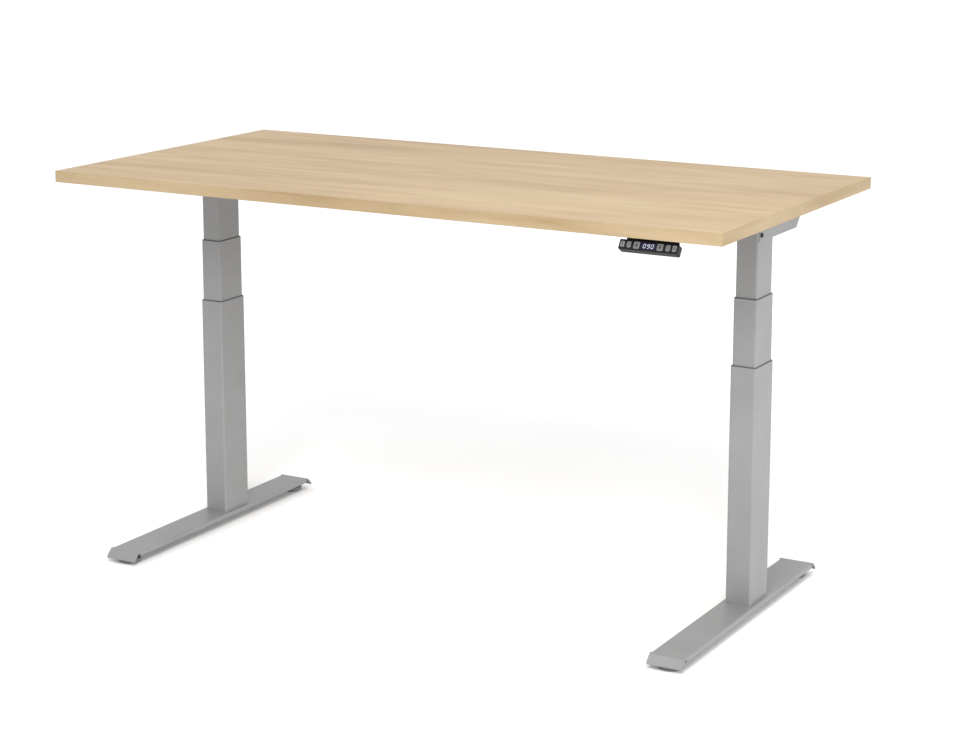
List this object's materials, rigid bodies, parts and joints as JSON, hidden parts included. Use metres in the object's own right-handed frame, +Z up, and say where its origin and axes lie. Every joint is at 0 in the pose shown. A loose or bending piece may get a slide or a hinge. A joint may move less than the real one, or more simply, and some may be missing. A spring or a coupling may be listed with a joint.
{
  "type": "height adjustable standing desk",
  "caption": "Electric sit-stand desk: wide rectangular wood-grain top on two telescopic steel columns with flat feet, motor heads, frame under the top and a black handset at the front edge.",
  "frame": {"origin": "on the floor, under the middle of the desktop, at a desktop height of 0.9 m", "axes": "+X along the desk towards the handset end, +Y to the back of the desk, +Z up"},
  "size_m": [1.6, 0.8, 0.9],
  "materials": {
    "wood_top": "pale maple grain running along the desk, satin melamine surface",
    "edge_band": "pale wood-grain edge band, satin",
    "grey_paint": "fine-textured silver-grey powder coat",
    "glide_plastic": "dark grey acetal",
    "zinc_steel": "zinc plated",
    "nut_brass": "machined",
    "cast_aluminium": "die cast",
    "motor_paint": "black enamel",
    "black_screw": "black oxide",
    "black_plastic": "moulded, fine texture",
    "board_green": "solder mask",
    "lead_rubber": "smooth cable sheath",
    "handset_black": "semi-gloss moulded",
    "window_black": "clear gloss over a dark display",
    "key_grey": "satin silver-grey keys with dark printed symbols",
    "pad_plastic": "moulded levelling pads"
  },
  "bodies": {
    "base": {"left_foot": "grey_paint", "right_foot": "grey_paint", "column_plates": "zinc_steel", "foot_bolts": "zinc_steel", "outer_collars": "glide_plastic", "levelling_bosses": "zinc_steel", "left_outer_tube": "grey_paint", "right_outer_tube": "grey_paint", "left_base_screw": "zinc_steel", "right_base_screw": "zinc_steel"},
    "front_left_levelling_foot": {"front_left_levelling_foot": "pad_plastic"},
    "front_right_levelling_foot": {"front_right_levelling_foot": "pad_plastic"},
    "back_left_levelling_foot": {"back_left_levelling_foot": "pad_plastic"},
    "back_right_levelling_foot": {"back_right_levelling_foot": "pad_plastic"},
    "left_middle_stage": {"left_middle_tube": "grey_paint", "left_middle_collar": "glide_plastic", "left_middle_plug": "glide_plastic", "left_thrust_bearing": "zinc_steel"},
    "left_spindle": {"left_spindle": "zinc_steel"},
    "left_drive_rod": {"left_drive_rod": "zinc_steel"},
    "right_middle_stage": {"right_middle_tube": "grey_paint", "right_middle_collar": "glide_plastic", "right_middle_plug": "glide_plastic", "right_thrust_bearing": "zinc_steel"},
    "right_spindle": {"right_spindle": "zinc_steel"},
    "right_drive_rod": {"right_drive_rod": "zinc_steel"},
    "memory_key_one": {"memory_key_one": "key_grey"},
    "memory_key_two": {"memory_key_two": "key_grey"},
    "up_key": {"up_key": "key_grey"},
    "down_key": {"down_key": "key_grey"},
    "memory_key_three": {"memory_key_three": "key_grey"},
    "save_key": {"save_key": "key_grey"},
    "top_frame": {"control_board": "board_green", "control_box": "black_plastic", "crossbar_bars": "grey_paint", "crossbar_sleeves": "grey_paint", "desktop": "wood_top", "desktop_screws": "black_screw", "edge_bands": "edge_band", "frame_screws": "black_screw", "handset_board": "board_green", "handset_bracket": "black_plastic", "handset_case": "handset_black", "handset_lead": "lead_rubber", "handset_window": "window_black", "inner_plugs": "glide_plastic", "lead_clips": "black_plastic", "left_gearbox": "cast_aluminium", "left_inner_tube": "grey_paint", "left_motor": "motor_paint", "left_motor_housing": "grey_paint", "left_side_arm": "grey_paint", "lift_nuts": "nut_brass", "mains_inlet": "black_plastic", "motor_leads": "lead_rubber", "right_gearbox": "cast_aluminium", "right_inner_tube": "grey_paint", "right_motor": "motor_paint", "right_motor_housing": "grey_paint", "right_side_arm": "grey_paint"}
  },
  "joints": [
    {"name": "desk_lift", "type": "slide", "parent": "base", "child": "top_frame", "axis": [0, 0, 1], "range_m": [-0.23, 0.37]},
    {"name": "left_middle_lift", "type": "slide", "parent": "base", "child": "left_middle_stage", "axis": [0, 0, 1], "range_m": [-0.116, 0.186]},
    {"name": "left_spindle_turn", "type": "hinge", "parent": "left_middle_stage", "child": "left_spindle", "pos_m": [-0.679, 0.047, 0.4], "axis": [0, 0, 1], "range_deg": [-5190, 8340]},
    {"name": "left_drive_rod_turn", "type": "hinge", "parent": "top_frame", "child": "left_drive_rod", "pos_m": [-0.679, 0.047, 0.6], "axis": [0, 0, 1], "range_deg": [-5190, 8340]},
    {"name": "right_middle_lift", "type": "slide", "parent": "base", "child": "right_middle_stage", "axis": [0, 0, 1], "range_m": [-0.116, 0.186]},
    {"name": "right_spindle_turn", "type": "hinge", "parent": "right_middle_stage", "child": "right_spindle", "pos_m": [0.679, 0.047, 0.4], "axis": [0, 0, 1], "range_deg": [-5190, 8340]},
    {"name": "right_drive_rod_turn", "type": "hinge", "parent": "top_frame", "child": "right_drive_rod", "pos_m": [0.679, 0.047, 0.6], "axis": [0, 0, 1], "range_deg": [-5190, 8340]},
    {"name": "front_left_levelling", "type": "slide", "parent": "base", "child": "front_left_levelling_foot", "axis": [0, 0, 1], "range_m": [-0.008, 0]},
    {"name": "front_right_levelling", "type": "slide", "parent": "base", "child": "front_right_levelling_foot", "axis": [0, 0, 1], "range_m": [-0.008, 0]},
    {"name": "back_left_levelling", "type": "slide", "parent": "base", "child": "back_left_levelling_foot", "axis": [0, 0, 1], "range_m": [-0.008, 0]},
    {"name": "back_right_levelling", "type": "slide", "parent": "base", "child": "back_right_levelling_foot", "axis": [0, 0, 1], "range_m": [-0.008, 0]},
    {"name": "memory_key_one_press", "type": "slide", "parent": "top_frame", "child": "memory_key_one", "axis": [0, 0.8387, -0.5446], "range_m": [0, 0.0006], "stiffness_N_per_m": 1200, "springref_m": -0.0006},
    {"name": "memory_key_two_press", "type": "slide", "parent": "top_frame", "child": "memory_key_two", "axis": [0, 0.8387, -0.5446], "range_m": [0, 0.0006], "stiffness_N_per_m": 1200, "springref_m": -0.0006},
    {"name": "up_key_press", "type": "slide", "parent": "top_frame", "child": "up_key", "axis": [0, 0.8387, -0.5446], "range_m": [0, 0.0006], "stiffness_N_per_m": 1200, "springref_m": -0.0006},
    {"name": "down_key_press", "type": "slide", "parent": "top_frame", "child": "down_key", "axis": [0, 0.8387, -0.5446], "range_m": [0, 0.0006], "stiffness_N_per_m": 1200, "springref_m": -0.0006},
    {"name": "memory_key_three_press", "type": "slide", "parent": "top_frame", "child": "memory_key_three", "axis": [0, 0.8387, -0.5446], "range_m": [0, 0.0006], "stiffness_N_per_m": 1200, "springref_m": -0.0006},
    {"name": "save_key_press", "type": "slide", "parent": "top_frame", "child": "save_key", "axis": [0, 0.8387, -0.5446], "range_m": [0, 0.0006], "stiffness_N_per_m": 1200, "springref_m": -0.0006}
  ],
  "couplings": [
    {"joint": "left_middle_lift", "follows": "desk_lift", "ratio": 0.5},
    {"joint": "left_spindle_turn", "follows": "desk_lift", "rad_per_m": 392.7},
    {"joint": "left_drive_rod_turn", "follows": "desk_lift", "rad_per_m": 392.7},
    {"joint": "right_middle_lift", "follows": "desk_lift", "ratio": 0.5},
    {"joint": "right_spindle_turn", "follows": "desk_lift", "rad_per_m": 392.7},
    {"joint": "right_drive_rod_turn", "follows": "desk_lift", "rad_per_m": 392.7}
  ]
}
